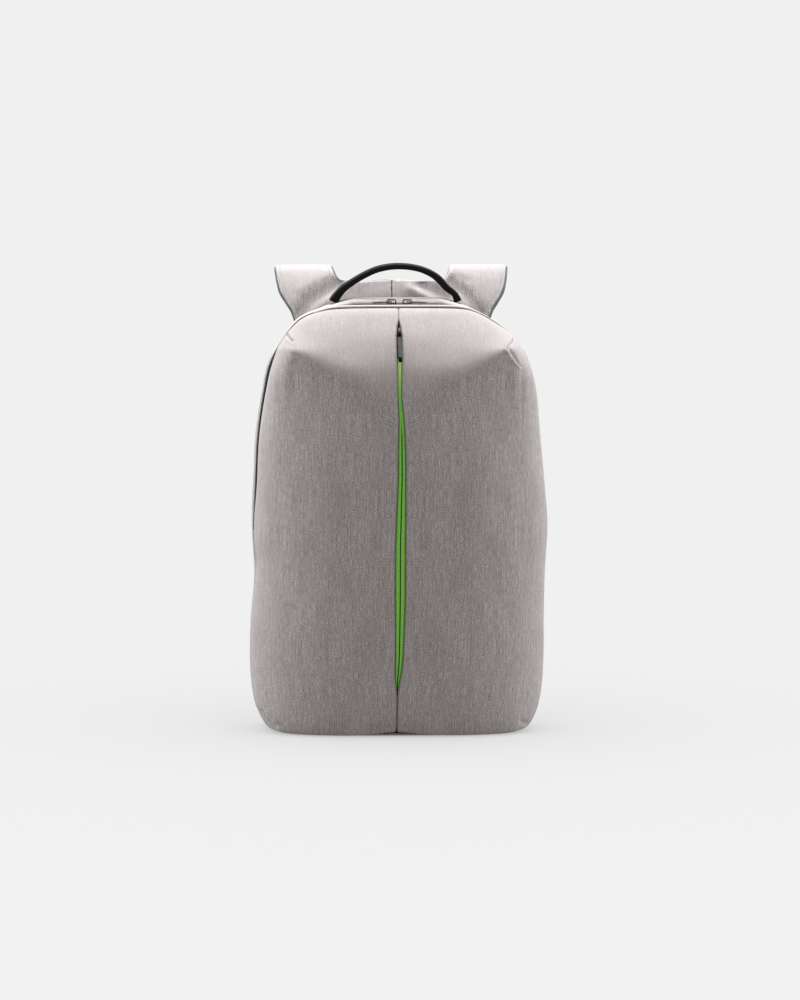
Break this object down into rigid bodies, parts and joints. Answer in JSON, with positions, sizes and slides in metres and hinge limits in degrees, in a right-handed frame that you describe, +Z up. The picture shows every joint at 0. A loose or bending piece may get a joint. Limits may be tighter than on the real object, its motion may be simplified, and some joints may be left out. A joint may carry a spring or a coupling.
{
  "type": "laptop backpack",
  "caption": "Slim heathered-grey laptop backpack with a green zip in a long front slit, an arched main zip, padded shoulder straps and a webbing handle.",
  "frame": {"origin": "middle of the flat bottom, on the floor", "axes": "+Z up, the front with the green zip faces -Y, +X to the right seen from the front"},
  "size_m": [0.3013, 0.2157, 0.4714],
  "materials": {
    "cloth": "matt heathered weave",
    "green_tape": "matt woven tape",
    "black_tape": "matt woven tape",
    "dark_metal": "satin gunmetal",
    "pull_tab": "matt",
    "webbing": "matt woven webbing",
    "back_mesh": "matt padded mesh",
    "buckle_plastic": "matt moulded"
  },
  "bodies": {
    "bag": {"front_panel_left": "cloth", "front_panel_right": "cloth", "top_welt": "cloth", "rear_gusset": "cloth", "base_panel": "cloth", "shoulder_strap_left": "cloth", "shoulder_strap_right": "cloth", "front_zip_tape_left": "green_tape", "front_zip_tape_right": "green_tape", "main_zip_tape": "black_tape", "main_zip_slider_left": "dark_metal", "main_zip_slider_right": "dark_metal", "front_zip_slider": "dark_metal", "carry_handle": "webbing", "strap_webbing_left": "webbing", "strap_webbing_right": "webbing", "back_panel": "back_mesh", "strap_adjuster_left": "buckle_plastic", "strap_adjuster_right": "buckle_plastic"},
    "front_pull": {"front_zip_pull": "pull_tab"},
    "left_pull": {"main_zip_pull_left": "dark_metal"},
    "right_pull": {"main_zip_pull_right": "dark_metal"}
  },
  "joints": [
    {"name": "front_pull_hinge", "type": "hinge", "parent": "bag", "child": "front_pull", "pos_m": [-0.00116, -0.03482, 0.40797], "axis": [-1, 0, 0], "range_deg": [0, 160]},
    {"name": "left_pull_hinge", "type": "hinge", "parent": "bag", "child": "left_pull", "pos_m": [-0.007, 0.01965, 0.43435], "axis": [0, 1, 0], "range_deg": [0, 105]},
    {"name": "right_pull_hinge", "type": "hinge", "parent": "bag", "child": "right_pull", "pos_m": [0.009, 0.01965, 0.43435], "axis": [0, -1, 0], "range_deg": [0, 105]}
  ]
}
